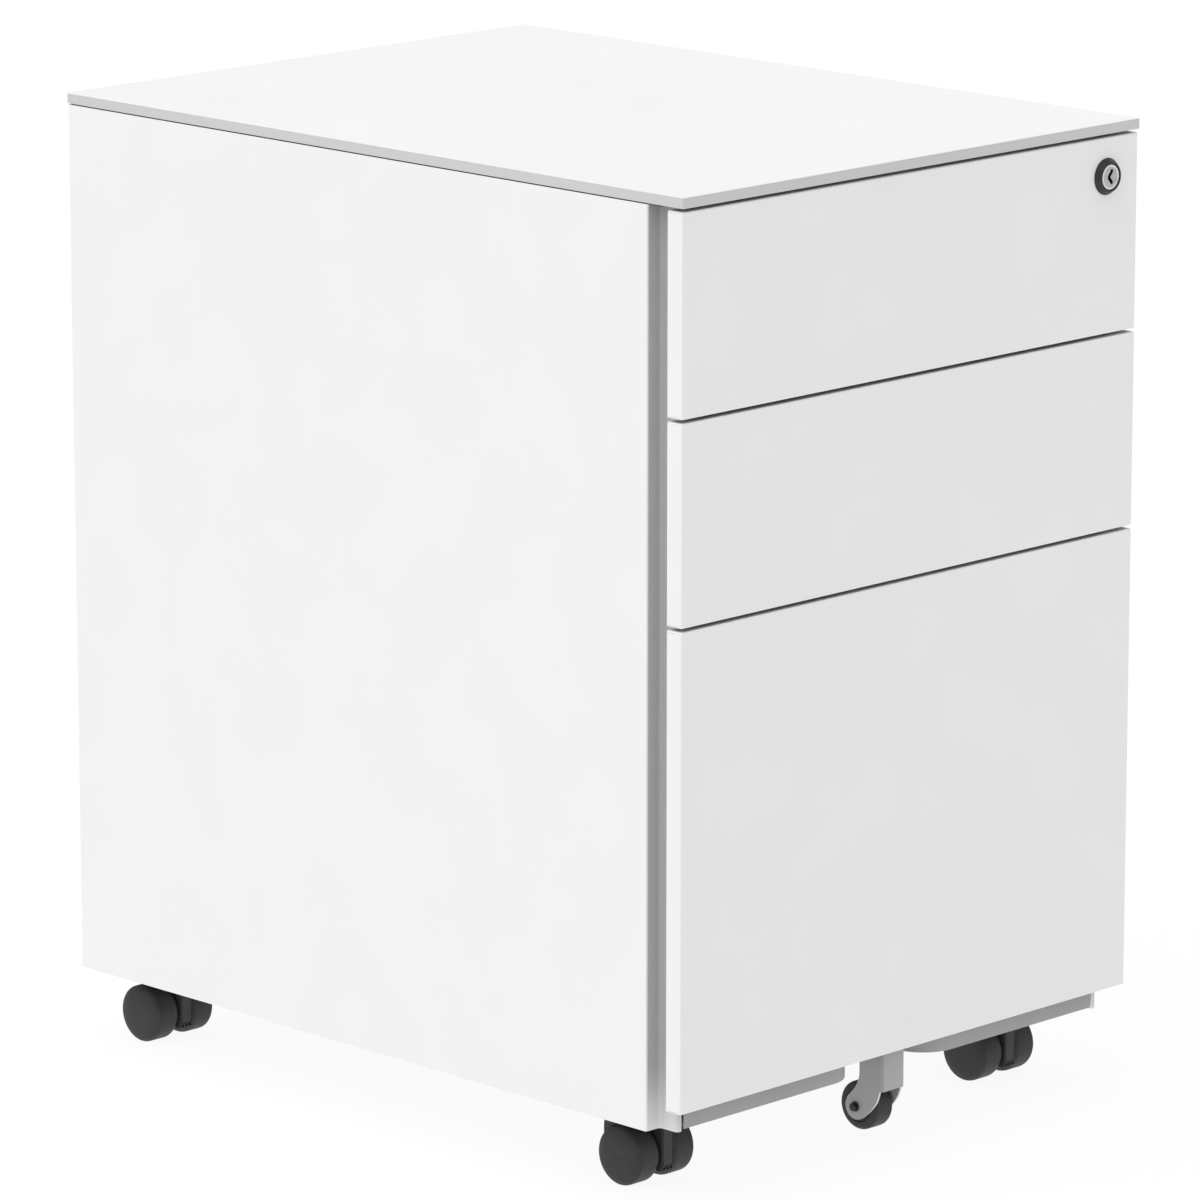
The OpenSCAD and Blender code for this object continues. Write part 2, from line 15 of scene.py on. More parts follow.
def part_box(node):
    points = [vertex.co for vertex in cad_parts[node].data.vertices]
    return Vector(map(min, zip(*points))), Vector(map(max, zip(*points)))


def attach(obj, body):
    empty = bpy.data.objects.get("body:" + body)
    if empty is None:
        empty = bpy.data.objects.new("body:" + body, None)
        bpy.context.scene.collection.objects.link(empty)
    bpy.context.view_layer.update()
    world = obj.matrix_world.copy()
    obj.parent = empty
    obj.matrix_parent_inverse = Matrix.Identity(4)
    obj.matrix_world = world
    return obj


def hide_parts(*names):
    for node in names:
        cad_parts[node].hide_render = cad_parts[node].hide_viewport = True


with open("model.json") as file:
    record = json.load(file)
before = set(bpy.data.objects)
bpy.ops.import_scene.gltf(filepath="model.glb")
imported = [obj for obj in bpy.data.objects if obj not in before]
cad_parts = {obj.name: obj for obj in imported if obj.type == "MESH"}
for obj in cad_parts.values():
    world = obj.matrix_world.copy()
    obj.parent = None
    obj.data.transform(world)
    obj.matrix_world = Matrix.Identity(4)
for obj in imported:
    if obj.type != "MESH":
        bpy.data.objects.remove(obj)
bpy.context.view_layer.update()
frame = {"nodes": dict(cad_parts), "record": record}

MM = 0.001
SHEET = 0.9 * MM
CASTORS = ("fl", "fr", "bl", "br")
SIDES = {"left": -1, "right": 1}
# A castor wheel's radius, tread width and dome, the gap between its two wheels, and how far
# its axle lies behind its stem, in mm
WHEEL_R = 18.0
TREAD_W = 14.5
DOME_H = 5.1
WHEEL_GAP = 10.3
TRAIL = 11


# ---- Camera, floor and light ----
def make_camera():
    """The main view: from the front left, a little above, through a long lens."""
    azimuth = math.radians(-45.076)
    elevation = math.radians(13.071)
    distance = 4.5458
    aim = Vector((0, 1.475 * MM, 0.3))
    pan_right = 1.232 * MM
    pan_up = -6.217 * MM
    across = Vector((math.cos(azimuth), math.sin(azimuth), 0))
    back = Vector((math.sin(azimuth) * math.cos(elevation),
                   -math.cos(azimuth) * math.cos(elevation), math.sin(elevation)))
    up = back.cross(across)
    data = bpy.data.cameras.new("camera")
    data.lens = 222.77
    data.sensor_width = 36
    data.clip_end = 100
    camera = bpy.data.objects.new("camera", data)
    place = Matrix((across, up, back)).transposed().to_4x4()
    place.translation = aim + back * distance + across * pan_right + up * pan_up
    camera.matrix_world = place
    bpy.context.scene.collection.objects.link(camera)
    bpy.context.scene.camera = camera


def make_floor():
    """A wide pale floor that shows only a faint shadow."""
    mesh = bpy.data.meshes.new("floor")
    reach = 40
    corners = [(-reach, -reach, 0), (reach, -reach, 0), (reach, reach, 0), (-reach, reach, 0)]
    mesh.from_pydata(corners, [], [(0, 1, 2, 3)])
    floor = bpy.data.objects.new("floor", mesh)
    bpy.context.scene.collection.objects.link(floor)
    material = bpy.data.materials.new("pale_floor")
    material.use_nodes = True
    shader = material.node_tree.nodes["Principled BSDF"]
    shader.inputs["Base Color"].default_value = (0.08, 0.08, 0.08, 1)
    shader.inputs["Roughness"].default_value = 0.9
    shader.inputs["Specular IOR Level"].default_value = 0
    shader.inputs["Emission Color"].default_value = (1, 1, 1, 1)
    shader.inputs["Emission Strength"].default_value = 0.92
    mesh.materials.append(material)


def make_light():
    """An even pale sky, and one very large soft light from the upper left, behind."""
    world = bpy.data.worlds.new("studio")
    world.use_nodes = True
    sky = world.node_tree.nodes["Background"]
    sky.inputs["Color"].default_value = (1, 1, 1, 1)
    sky.inputs["Strength"].default_value = 0.72
    bpy.context.scene.world = world
    data = bpy.data.lights.new("softbox", "SUN")
    data.energy = 1.4
    data.angle = math.radians(70)
    lamp = bpy.data.objects.new("softbox", data)
    towards = Vector((-0.42, 0.2, 0.88))
    lamp.rotation_euler = towards.to_track_quat("Z", "Y").to_euler()
    bpy.context.scene.collection.objects.link(lamp)
    bpy.context.scene.view_settings.view_transform = "Standard"


# ---- Materials ----
class Shader:
    """A Principled material and short ways to add patterns to it."""

    def __init__(self, name, color, roughness, metallic=0.0, specular=0.5):
        self.material = bpy.data.materials.new(name)
        self.material.use_nodes = True
        self.nodes = self.material.node_tree.nodes
        self.links = self.material.node_tree.links
        self.bsdf = self.nodes["Principled BSDF"]
        self.bsdf.inputs["Base Color"].default_value = (*color, 1)
        self.bsdf.inputs["Roughness"].default_value = roughness
        self.bsdf.inputs["Metallic"].default_value = metallic
        self.bsdf.inputs["Specular IOR Level"].default_value = specular
        self.place = self.nodes.new("ShaderNodeTexCoord").outputs["Object"]
        self.height = None

    def stretched(self, scale):
        """The object's coordinates, scaled along each axis."""
        mapping = self.nodes.new("ShaderNodeMapping")
        mapping.inputs["Scale"].default_value = scale
        self.links.new(self.place, mapping.inputs["Vector"])
        return mapping.outputs["Vector"]

    def noise(self, size, detail=2.0, place=None):
        """Noise whose blotches are about `size` metres wide."""
        noise = self.nodes.new("ShaderNodeTexNoise")
        noise.inputs["Scale"].default_value = 1 / size
        noise.inputs["Detail"].default_value = detail
        self.links.new(place or self.place, noise.inputs["Vector"])
        return noise.outputs["Fac"]

    def ramp(self, value, low, high, start=0.3, end=0.7):
        """Turns a 0..1 value into a colour between low and high."""
        ramp = self.nodes.new("ShaderNodeValToRGB")
        ramp.color_ramp.elements[0].position = start
        ramp.color_ramp.elements[0].color = (*low, 1)
        ramp.color_ramp.elements[1].position = end
        ramp.color_ramp.elements[1].color = (*high, 1)
        self.links.new(value, ramp.inputs["Fac"])
        return ramp.outputs["Color"]

    def span(self, value, low, high, start=0.3, end=0.7):
        """Turns a 0..1 value into a number between low and high."""
        reach = self.nodes.new("ShaderNodeMapRange")
        for name, number in (("From Min", start), ("From Max", end),
                             ("To Min", low), ("To Max", high)):
            reach.inputs[name].default_value = number
        self.links.new(value, reach.inputs["Value"])
        return reach.outputs["Result"]

    def colour(self, value, low, high, start=0.3, end=0.7):
        """Varies the base colour between low and high."""
        self.links.new(self.ramp(value, low, high, start, end), self.bsdf.inputs["Base Color"])

    def rough(self, value, low, high):
        """Varies the roughness between low and high."""
        self.links.new(self.span(value, low, high), self.bsdf.inputs["Roughness"])

    def math(self, operation, a, b=None):
        """One arithmetic step on one or two values."""
        node = self.nodes.new("ShaderNodeMath")
        node.operation = operation
        self.links.new(a, node.inputs[0])
        if b:
            self.links.new(b, node.inputs[1])
        return node.outputs["Value"]

    def axes(self):
        """The object's x, y and z, one by one."""
        split = self.nodes.new("ShaderNodeSeparateXYZ")
        self.links.new(self.place, split.inputs["Vector"])
        return split.outputs["X"], split.outputs["Y"], split.outputs["Z"]

    def blend(self, factor, color):
        """Lays another colour over the base colour, by a factor that changes over it."""
        mix = self.nodes.new("ShaderNodeMix")
        mix.data_type = "RGBA"
        base = self.bsdf.inputs["Base Color"]
        self.links.new(base.links[0].from_socket, mix.inputs["A"])
        mix.inputs["B"].default_value = (*color, 1)
        self.links.new(factor, mix.inputs["Factor"])
        self.links.new(mix.outputs["Result"], base)

    def bump(self, value, depth, strength=1.0):
        """Adds relief; `depth` is its height in metres."""
        bump = self.nodes.new("ShaderNodeBump")
        bump.inputs["Strength"].default_value = strength
        bump.inputs["Distance"].default_value = depth
        self.links.new(value, bump.inputs["Height"])
        if self.height:
            self.links.new(self.height, bump.inputs["Normal"])
        self.height = bump.outputs["Normal"]
        self.links.new(self.height, self.bsdf.inputs["Normal"])


def white_laminate():
    """Matt melamine: a fine pearl texture and barely any colour change, with painted shade along
    the board's bottom edge.
    """
    paint = Shader("white_laminate", (0.86, 0.86, 0.86), 0.5, specular=0.4)
    paint.colour(paint.noise(0.09), (0.85, 0.85, 0.847), (0.868, 0.868, 0.866))
    paint.rough(paint.noise(0.02), 0.48, 0.56)
    paint.bump(paint.noise(1.1 * MM, 3), 0.012 * MM)
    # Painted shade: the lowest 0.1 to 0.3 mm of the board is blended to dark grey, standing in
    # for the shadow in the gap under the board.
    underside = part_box("top_board")[0].z
    height = paint.axes()[2]
    paint.blend(paint.span(height, 1, 0, underside + 0.1 * MM, underside + 0.3 * MM),
                (0.16, 0.16, 0.155))
    return paint.material


def grey_edging():
    """Extruded ABS edging: faint lines along its length."""
    paint = Shader("grey_edging", (0.58, 0.58, 0.585), 0.45, specular=0.4)
    grain = paint.noise(2 * MM, 2, paint.stretched((0.05, 0.05, 3)))
    paint.colour(grain, (0.57, 0.57, 0.575), (0.6, 0.6, 0.605))
    paint.rough(grain, 0.42, 0.5)
    paint.bump(grain, 0.01 * MM)
    return paint.material


def powder_coat(name, low, high):
    """Powder-coated steel: fine orange peel over a very even colour."""
    paint = Shader(name, high, 0.5, specular=0.4)
    paint.colour(paint.noise(0.06), low, high)
    paint.rough(paint.noise(0.012), 0.46, 0.55)
    paint.bump(paint.noise(0.55 * MM, 2), 0.008 * MM)
    paint.bump(paint.noise(2.4 * MM, 1), 0.02 * MM)
    return paint


def panel_coat_with_painted_shade():
    """White coat of the side panels, with painted shade: grey inside the finger groove and on
    the corner post's front, weaker towards the foot.
    """
    paint = powder_coat("white_panel_coat_painted_shade", (0.84, 0.84, 0.838), (0.86, 0.86, 0.858))
    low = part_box("side_panel_left")[0]
    post_face = 180.5 * MM
    groove_back = low.y + 14.6 * MM
    x, y, z = paint.axes()
    # Painted shade: these masks pick out the finger groove and the corner post's front, where a
    # mid grey is laid. It is at 40 % near the foot and in full from 38 mm up, standing in for
    # the shadow in the groove.
    inward = paint.span(paint.math("ABSOLUTE", x), 1, 0, -low.x - 1.4 * MM, -low.x - 0.3 * MM)
    beyond_post = paint.span(paint.math("ABSOLUTE", x), 0, 1, post_face, post_face + 0.3 * MM)
    forward = paint.span(y, 1, 0, groove_back, groove_back + 0.6 * MM)
    raised = paint.span(z, 0.4, 1, low.z, low.z + 38 * MM)
    painted_groove_shade = paint.math("MULTIPLY", paint.math("MULTIPLY", inward, beyond_post),
                      paint.math("MULTIPLY", forward, raised))
    paint.blend(painted_groove_shade, (0.475, 0.475, 0.475))
    return paint.material


def zinc_steel():
    """Bright zinc plating with drawn streaks along the slides."""
    metal = Shader("zinc_steel", (0.62, 0.63, 0.65), 0.35, metallic=1)
    streaks = metal.noise(1.5 * MM, 3, metal.stretched((1, 0.03, 1)))
    metal.colour(metal.noise(0.015), (0.6, 0.61, 0.63), (0.64, 0.65, 0.665))
    metal.rough(streaks, 0.26, 0.44)
    metal.bump(streaks, 0.01 * MM)
    return metal.material


def nickel(name, low, high):
    """Satin nickel, turned on a lathe."""
    metal = Shader(name, high, 0.38, metallic=1)
    metal.colour(metal.noise(2 * MM), low, high)
    metal.rough(metal.noise(0.4 * MM, 3), 0.32, 0.46)
    metal.bump(metal.noise(0.2 * MM, 2), 0.004 * MM)
    return metal.material


def moulded_plastic(name, low, high, rough_low, rough_high, grain):
    """Dark moulded plastic with a spark-eroded grain."""
    plastic = Shader(name, high, rough_high, specular=0.35)
    plastic.colour(plastic.noise(8 * MM, 3), low, high)
    plastic.rough(plastic.noise(3 * MM, 2), rough_low, rough_high)
    plastic.bump(plastic.noise(grain, 2), 0.02 * MM, 0.6)
    return plastic.material


def black_metal():
    """Black paint on small metal pieces."""
    paint = Shader("black_metal", (0.018, 0.018, 0.019), 0.42, specular=0.4)
    paint.colour(paint.noise(4 * MM), (0.015, 0.015, 0.016), (0.022, 0.022, 0.023))
    paint.rough(paint.noise(1.5 * MM), 0.36, 0.48)
    paint.bump(paint.noise(0.4 * MM), 0.006 * MM)
    return paint.material


def painted_gap_shade():
    """Dark grey paint on the hidden undersides of the drawer fronts: painted shade that makes
    the gaps between the drawers read dark.
    """
    return powder_coat("grey_painted_gap_shade", (0.1, 0.1, 0.1), (0.13, 0.13, 0.13)).material


MATERIALS = {
    "white_laminate": white_laminate(),
    "grey_edging": grey_edging(),
    "white_steel": powder_coat("white_steel", (0.84, 0.84, 0.838),
                               (0.86, 0.86, 0.858)).material,
    "grey_steel": powder_coat("grey_steel", (0.41, 0.41, 0.41), (0.44, 0.44, 0.44)).material,
    "zinc_steel": zinc_steel(),
    "nickel": nickel("nickel", (0.7, 0.7, 0.69), (0.78, 0.78, 0.77)),
    "dull_nickel": nickel("dull_nickel", (0.42, 0.42, 0.415), (0.5, 0.5, 0.49)),
    # Painted highlight: a light grey for the bracket's cut edges, standing in for the light they
    # catch.
    "edge_painted_highlight": powder_coat("edge_painted_highlight", (0.66, 0.66, 0.66), (0.74, 0.74, 0.74)).material,
    "painted_gap_shade": painted_gap_shade(),
    "panel": panel_coat_with_painted_shade(),
    # The front rail's grey is its real colour. It is painted darker than grey_steel, though, as
    # painted shade under the overhanging drawer fronts.
    "rail": powder_coat("rail_grey_darkened_painted_shade", (0.37, 0.37, 0.37), (0.39, 0.39, 0.39)).material,
    # Painted shade: the bracket's cheeks get a darker grey than its front, for the shade in the
    # bay where they sit.
    "bracket_cheek_painted_shade": powder_coat("bracket_cheek_painted_shade", (0.34, 0.34, 0.34),
                                 (0.37, 0.37, 0.37)).material,
    "dark_plastic": moulded_plastic("dark_plastic", (0.031, 0.031, 0.032),
                                    (0.039, 0.039, 0.04), 0.45, 0.6, 0.35 * MM),
    "wheel_plastic": moulded_plastic("wheel_plastic", (0.027, 0.027, 0.028),
                                     (0.033, 0.033, 0.034), 0.5, 0.62, 0.6 * MM),
    "black_metal": black_metal(),
}

# CAD nodes whose paint differs from the rest of their slot. Each is painted shade: the side
# panels get their grey groove, the crown panel is black so that the gap under the board shows as
# a shadow line, and the front rail is darker than the other grey steel for the shade under the
# drawers.
PAINT = {"side_panel_left": "panel", "side_panel_right": "panel", "crown_panel": "black_metal",
         "front_rail": "rail"}


# ---- Outlines and solids ----
def rounded(corners, radii, steps=5):
    """A closed outline whose corners are rounded, each to its own radius (or all to one)."""
    count = len(corners)
    radii = radii if isinstance(radii, (list, tuple)) else [radii] * count
    outline = []
    for i, radius in enumerate(radii):
        here = Vector(corners[i])
        if radius <= 0:
            outline.append(here)
            continue
        before = (Vector(corners[i - 1]) - here).normalized()
        after = (Vector(corners[(i + 1) % count]) - here).normalized()
        half = before.angle(after) / 2
        middle = here + (before + after).normalized() * radius / math.sin(half)
        reach = radius / math.tan(half)
        start, end = here + before * reach - middle, here + after * reach - middle
        turn = math.pi - 2 * half
        for k in range(steps + 1):
            a, b = math.sin(turn * (1 - k / steps)), math.sin(turn * k / steps)
            outline.append(middle + (start * a + end * b) / math.sin(turn))
    return outline


def arc(centre, radius, start, end, steps=12):
    """Points on a circle, with the angles in degrees."""
    angles = [math.radians(start + (end - start) * k / steps) for k in range(steps + 1)]
    return [Vector((centre[0] + radius * math.cos(a), centre[1] + radius * math.sin(a)))
            for a in angles]


def smooth_curve(points, steps=6):
    """A Catmull-Rom curve through the points, without its two ends' tangents."""
    points = [Vector(p) for p in points]
    ends = [2 * points[0] - points[1]] + points + [2 * points[-1] - points[-2]]
    curve = []
    for a, b, c, d in zip(ends, ends[1:], ends[2:], ends[3:]):
        for k in range(steps):
            t = k / steps
            curve.append(0.5 * (2 * b + (c - a) * t + (2 * a - 5 * b + 4 * c - d) * t * t
                                + (3 * b - 3 * c + d - a) * t ** 3))
    return curve + [points[-1]]


def to_mesh(bm):
    """Makes a mesh of a bmesh, with its faces turned outwards."""
    bmesh.ops.recalc_face_normals(bm, faces=bm.faces)
    mesh = bpy.data.meshes.new("solid")
    bm.to_mesh(mesh)
    bm.free()
    return mesh


# How a flat outline (u, v) and its height w lie in space when extruded along each axis
LAY = {"x": lambda u, v, w: (w, u, v), "y": lambda u, v, w: (u, w, v),
       "z": lambda u, v, w: (u, v, w)}


def prism(outline, low, high, axis):
    """Extrudes a closed outline from low to high along an axis."""
    bm = bmesh.new()
    lay = LAY[axis]
    bottom = [bm.verts.new(lay(u, v, low)) for u, v in outline]
    top = [bm.verts.new(lay(u, v, high)) for u, v in outline]
    bm.faces.new(bottom)
    bm.faces.new(top)
    for i in range(len(outline)):
        bm.faces.new((bottom[i - 1], bottom[i], top[i], top[i - 1]))
    return to_mesh(bm)


def block(low, high):
    """A plain box between two corners, as stock for cutting."""
    square = [(low[0], low[1]), (high[0], low[1]), (high[0], high[1]), (low[0], high[1])]
    return prism(square, low[2], high[2], "z")


def lathe(profile, steps=96, closed=False):
    """Turns a profile of (radius, height) points about Z; closed joins its ends."""
    bm = bmesh.new()
    rings = []
    for radius, height in profile:
        around = steps if radius > 1e-7 else 1
        rings.append([bm.verts.new((radius * math.cos(2 * math.pi * k / steps),
                                    radius * math.sin(2 * math.pi * k / steps), height))
                      for k in range(around)])
    pairs = list(zip(rings, rings[1:])) + ([(rings[-1], rings[0])] if closed else [])
    for near, far in pairs:
        for k in range(steps):
            after = (k + 1) % steps
            corners = (near[k % len(near)], near[after % len(near)],
                       far[after % len(far)], far[k % len(far)])
            face = list(dict.fromkeys(corners))
            if len(face) > 2:
                bm.faces.new(face)
    return to_mesh(bm)


def rod(radius, low, high, steps=48):
    """A round bar about Z, as stock for a bore."""
    return lathe([(0, low), (radius, low), (radius, high), (0, high)], steps)


def in_metres(outline):
    """An outline drawn in millimetres, scaled to the scene's metres."""
    return [point * MM for point in outline]


def moved(mesh, matrix):
    """The mesh in its new place; a mirroring keeps its faces outwards."""
    mesh.transform(matrix)
    if matrix.determinant() < 0:
        mesh.flip_normals()
    return mesh


def shift(x, y, z):
    return Matrix.Translation((x, y, z))


def facing_front(x, y, z):
    """Lays a lathed piece's +Z along +Y, with its start at a point."""
    return shift(x, y, z) @ Matrix.Rotation(math.radians(-90), 4, "X")


def facing_right(x, y, z):
    """Lays a lathed piece's +Z along +X, with its start at a point."""
    return shift(x, y, z) @ Matrix.Rotation(math.radians(90), 4, "Y")


def boolean(mesh, tools, operation):
    """The mesh joined with, cut by or kept inside each of the tools."""
    scene = bpy.context.scene.collection
    base = bpy.data.objects.new("base", mesh)
    scene.objects.link(base)
    helpers = []
    for tool in tools:
        helper = bpy.data.objects.new("tool", tool)
        scene.objects.link(helper)
        helpers.append(helper)
        modifier = base.modifiers.new("cut", "BOOLEAN")
        modifier.object = helper
        modifier.operation = operation
        modifier.solver = "EXACT"
    bpy.context.view_layer.update()
    result = bpy.data.meshes.new_from_object(base.evaluated_get(
        bpy.context.evaluated_depsgraph_get()))
    for helper in [base] + helpers:
        bpy.data.objects.remove(helper)
    return result


def soften(obj, width):
    """Rounds an object's sharp edges by modifiers and shades it smoothly."""
    bevel = obj.modifiers.new("soft_edges", "BEVEL")
    bevel.width = width
    bevel.segments = 2
    bevel.limit_method = "ANGLE"
    bevel.angle_limit = math.radians(30)
    bevel.miter_outer = "MITER_ARC"
    shade = obj.modifiers.new("shading", "WEIGHTED_NORMAL")
    shade.keep_sharp = False
    obj.data.polygons.foreach_set("use_smooth", [True] * len(obj.data.polygons))


def round_edges(mesh, width, segments=2):
    """Rounds a mesh's own sharp edges."""
    tiny = 0.005 * MM
    bm = bmesh.new()
    bm.from_mesh(mesh)
    bmesh.ops.remove_doubles(bm, verts=bm.verts, dist=tiny)
    bmesh.ops.dissolve_degenerate(bm, edges=bm.edges, dist=tiny)
    sharp = [e for e in bm.edges if len(e.link_faces) == 2
             and e.calc_face_angle(0) > math.radians(32)]
    bmesh.ops.bevel(bm, geom=sharp, offset=width, segments=segments, profile=0.5,
                    affect="EDGES", clamp_overlap=False)
    bm.to_mesh(mesh)
    bm.free()


def piece(name, mesh, body, slot, replaces=(), edge=0.0, segments=2):
    """A finished piece that rides on a CAD body and stands for some of its nodes."""
    obj = bpy.data.objects.new(name, mesh)
    bpy.context.scene.collection.objects.link(obj)
    mesh.materials.clear()
    mesh.materials.append(MATERIALS[slot])
    if edge:
        round_edges(mesh, edge, segments)
    mesh.polygons.foreach_set("use_smooth", [True] * len(mesh.polygons))
    mesh.set_sharp_from_angle(angle=math.radians(38))
    obj.modifiers.new("shading", "WEIGHTED_NORMAL").keep_sharp = True
    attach(obj, body)
    if replaces:
        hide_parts(*replaces)
    return obj


def centre(node):
    """The middle of a CAD node's box."""
    low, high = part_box(node)
    return (low + high) / 2


# ---- CAD nodes that keep their shape ----
def finish_cad_nodes():
    """Gives every CAD node its material, and the visible ones their deburred edges."""
    slots = {part["node"]: part["material_slot"] for part in frame["record"]["subparts"]}
    # How wide the rounding is, in mm, for the nodes whose name holds each word
    edges = {
        "top_board": 0.25, "top_edging": 0.3, "side_panel": 0.22, "back_panel": 0.2,
        "base_pan": 0.2, "front_rail": 0.22, "tray": 0.2, "inner_skin": 0.15,
        "file_rails": 0.4, "slide": 0.25, "rear_uprights": 0.2, "lock_bar": 0.2,
        "catch": 0.3, "castor_stems": 0.4, "board_screws": 0.3, "lock_cam": 0.25,
    }
    for name, node in frame["nodes"].items():
        mesh = node.data
        mesh.materials.clear()
        mesh.materials.append(MATERIALS[PAINT.get(name, slots[name])])
        width = next((w for key, w in edges.items() if key in name), 0)
        if width:
            clean(node)
            soften(node, width * MM)


def clean(node):
    """Welds a CAD node's faces together and joins its coplanar triangles."""
    normals = node.data.attributes.get("custom_normal")
    if normals:
        node.data.attributes.remove(normals)
    weld = node.modifiers.new("weld", "WELD")
    weld.merge_threshold = 0.001 * MM
    flat = node.modifiers.new("flat", "DECIMATE")
    flat.decimate_type = "DISSOLVE"
    flat.angle_limit = math.radians(0.4)


# ---- Drawer fronts ----
def folded_front(low, high, bend):
    """A sheet front with a flange round its back; its visible edges are bends."""
    bm = bmesh.new()
    corners = [[bm.verts.new((x, y, z)) for z in (low.z, high.z) for x in (low.x, high.x)]
               for y in (low.y, high.y)]
    front, back = corners
    bm.faces.new([front[i] for i in (0, 1, 3, 2)])
    for a, b in ((0, 1), (1, 3), (3, 2), (2, 0)):
        bm.faces.new((front[a], front[b], back[b], back[a]))
    bends = [e for e in bm.edges if all(v.co.y < (low.y + high.y) / 2 for v in e.verts)]
    corner_edges = [e for e in bm.edges if e not in bends and len(e.link_faces) == 2]
    bmesh.ops.bevel(bm, geom=bends + corner_edges, offset=bend, segments=4, profile=0.5,
                    affect="EDGES")
    bmesh.ops.recalc_face_normals(bm, faces=bm.faces)
    outside = bpy.data.meshes.new("front")
    bm.to_mesh(outside)
    bm.free()
    shell = bpy.data.objects.new("shell", outside)
    bpy.context.scene.collection.objects.link(shell)
    thick = shell.modifiers.new("sheet", "SOLIDIFY")
    thick.thickness = SHEET
    thick.offset = -1
    thick.use_even_offset = True
    bpy.context.view_layer.update()
    mesh = bpy.data.meshes.new_from_object(shell.evaluated_get(
        bpy.context.evaluated_depsgraph_get()))
    bpy.data.objects.remove(shell)
    return mesh


def fold_seams(low, high):
    """Cutters for the fine grooves where the top and bottom flanges meet the side flanges.

    Each groove ends in a small relief hole: near the front at the top, and near the back
    at the bottom.
    """
    inset, wide, deep, relief = 1.05 * MM, 0.2 * MM, 0.3 * MM, 0.42 * MM
    ends = ((high.z - inset, low.y + 1.6 * MM, high.y + 1 * MM, 1),
            (low.z + inset, high.y - 2.2 * MM, low.y + 1.6 * MM, -1))
    opening = math.degrees(math.asin(wide / 2 / relief))
    cutters = []
    for z, hole, end, way in ends:
        outline = [(end, z + wide / 2)]
        outline += [(hole + way * (p.x - hole), p.y)
                    for p in arc((hole, z), relief, opening, 360 - opening, 14)]
        outline.append((end, z - wide / 2))
        for x in (low.x, high.x):
            cutters.append(prism(outline, x - deep, x + deep, "x"))
    return cutters


def make_drawer_fronts():
    """Three folded fronts; the top one has a hole for the lock."""
    for i in (1, 2, 3):
        node = f"drawer_{i}_front"
        low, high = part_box(node)
        cutters = fold_seams(low, high)
        if i == 1:
            lock = centre("lock_plug")
            hole = rod(8.1 * MM, 0, 20 * MM, 64)
            cutters.append(moved(hole, facing_front(lock.x, low.y - 2 * MM, lock.z)))
        mesh = boolean(folded_front(low, high, bend=1.0 * MM), cutters, "DIFFERENCE")
        piece(f"drawer_front_shell_{i}", mesh, f"drawer_{i}", "white_steel", [node])
        # Painted shade: the undersides of the bottom flange get the dark paint, so the gap below
        # each front looks shadowed.
        paint_faces(mesh, "painted_gap_shade",
                    lambda f: f.normal.z < -0.9 and f.center.z < low.z + 0.5 * MM)


# ---- Lock ----
def make_lock():
    """The black conical collar, and the plug in it; profiles are (radius, depth) in mm."""
    low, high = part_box("lock_housing")
    at = centre("lock_plug")
    length = (high.y - low.y) / MM
    base = (high.x - low.x) / 2 / MM
    plug_low, plug_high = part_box("lock_plug")
    face = (plug_high.x - plug_low.x) / 2 / MM
    collar = [(face + 0.08, 1.9), (face + 0.08, 0), (8.7, 0), (base, 3.9), (8, 3.9), (8, length),
              (5.99, length), (5.99, 1.9)]
    radii = [0, 0.2, 0.45, 0.35, 0, 0.2, 0.2, 0]
    outline = in_metres(rounded(collar, radii))
    mesh = moved(lathe(outline, closed=True), facing_front(at.x, low.y, at.z))
    piece("lock_collar", mesh, "drawer_1", "black_metal", ["lock_housing"])
    make_plug(at, face, low.y + 0.6 * MM, plug_high.y)


def make_plug(at, radius, face_y, tail_y):
    """The plug's face has a bright rim round a duller disc with a curved keyway.

    Profiles and the keyway's path are in mm; the path is (right, up) from the plug's middle.
    """
    length = (tail_y - face_y) / MM
    disc = radius - 1.6
    face = [(0, 0.25), (disc, 0.25), (disc + 0.2, 0), (radius - 0.5, 0), (radius, 0.5),
            (radius, 1.2), (5.95, 1.2), (5.95, length), (0, length)]
    radii = [0, 0.1, 0.08, 0.25, 0.1, 0.1, 0, 0.3, 0]
    plug = moved(lathe(in_metres(rounded(face, radii, 3))), facing_front(at.x, face_y, at.z))
    key = [(1.3, 3.6), (0.8, 2.6), (-1.0, 0.7), (-1.1, -0.6), (0.8, -2.7), (1.2, -3.4)]
    cutters = []
    for i, (start, end) in enumerate(zip(key, key[1:])):
        slot = bar(start, end, 2.3 - 0.1 * (i % 2))
        cutters.append(prism([(at.x + u * MM, at.z + v * MM) for u, v in slot],
                             face_y - (1 + i / 10) * MM, face_y + (8 + i / 10) * MM, "y"))
    mesh = boolean(plug, cutters, "DIFFERENCE")
    piece("lock_plug_face", mesh, "lock_plug", "nickel", ["lock_plug"], 0.08 * MM, 1)

    def in_disc(face):
        return (face.center - at).xz.length < (disc - 0.1) * MM

    paint_faces(mesh, "dull_nickel", lambda f: in_disc(f) and f.normal.y < -0.5)
    # Painted shade: the walls of the keyway slot are painted black, so that the keyway reads
    # dark.
    paint_faces(mesh, "black_metal", lambda f: in_disc(f) and abs(f.normal.y) < 0.5
                and f.center.y < face_y + 8.5 * MM)


def paint_faces(mesh, paint, chosen):
    """Gives the faces that `chosen` accepts another paint."""
    mesh.materials.append(MATERIALS[paint])
    index = len(mesh.materials) - 1
    for face in mesh.polygons:
        if chosen(face):
            face.material_index = index


def bar(start, end, width):
    """The outline of a straight bar with round ends."""
    way = math.degrees(math.atan2(end[1] - start[1], end[0] - start[0]))
    return (arc(end, width / 2, way - 90, way + 90, 8)
            + arc(start, width / 2, way + 90, way + 270, 8))


